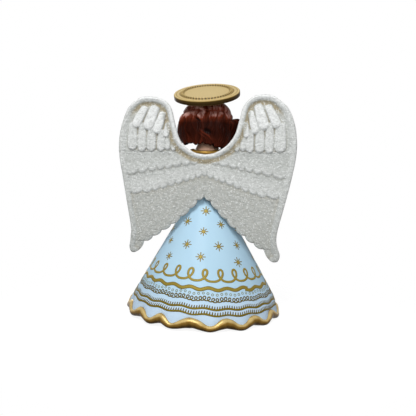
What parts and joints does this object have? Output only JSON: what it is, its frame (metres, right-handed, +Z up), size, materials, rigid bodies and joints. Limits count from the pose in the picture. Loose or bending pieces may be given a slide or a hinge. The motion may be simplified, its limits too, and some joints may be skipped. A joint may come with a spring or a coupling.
{
  "type": "angel tree topper",
  "caption": "Standing angel ornament with a hollow cone skirt that slips over the top of a tree, feathered wings, bobbed hair, praying hands and a tilted halo.",
  "frame": {"origin": "middle of the hem on the surface that the angel stands on", "axes": "+Z up, -Y towards the angel's face, +X towards the angel's left hand"},
  "size_m": [0.15, 0.136, 0.2081],
  "materials": {
    "skirt_enamel": "pale blue glossy paint on cast resin, gold print",
    "gold": "metallic gold paint on cast resin",
    "wing_glitter": "white cast resin with fine clear glitter",
    "skin": "painted resin, satin",
    "hair": "red-brown paint on moulded resin, semi-gloss",
    "socket_plastic": "moulded white plastic",
    "steel": "zinc plated",
    "dowel_wood": "plain beech"
  },
  "bodies": {
    "root": {"skirt": "skirt_enamel", "hem_bead": "gold", "tree_socket": "socket_plastic", "waist_washer": "steel", "waist_screw": "steel", "bodice": "skirt_enamel", "waist_band": "gold", "collar": "gold", "neck_dowel": "dowel_wood", "head": "skin", "hair": "hair", "halo_post": "gold", "halo": "gold", "wings": "wing_glitter", "left_sleeve": "skirt_enamel", "right_sleeve": "skirt_enamel", "left_cuff": "gold", "right_cuff": "gold", "left_hand": "skin", "right_hand": "skin", "left_arm_dowel": "dowel_wood", "right_arm_dowel": "dowel_wood", "left_wing_dowel": "dowel_wood", "right_wing_dowel": "dowel_wood"}
  },
  "joints": []
}
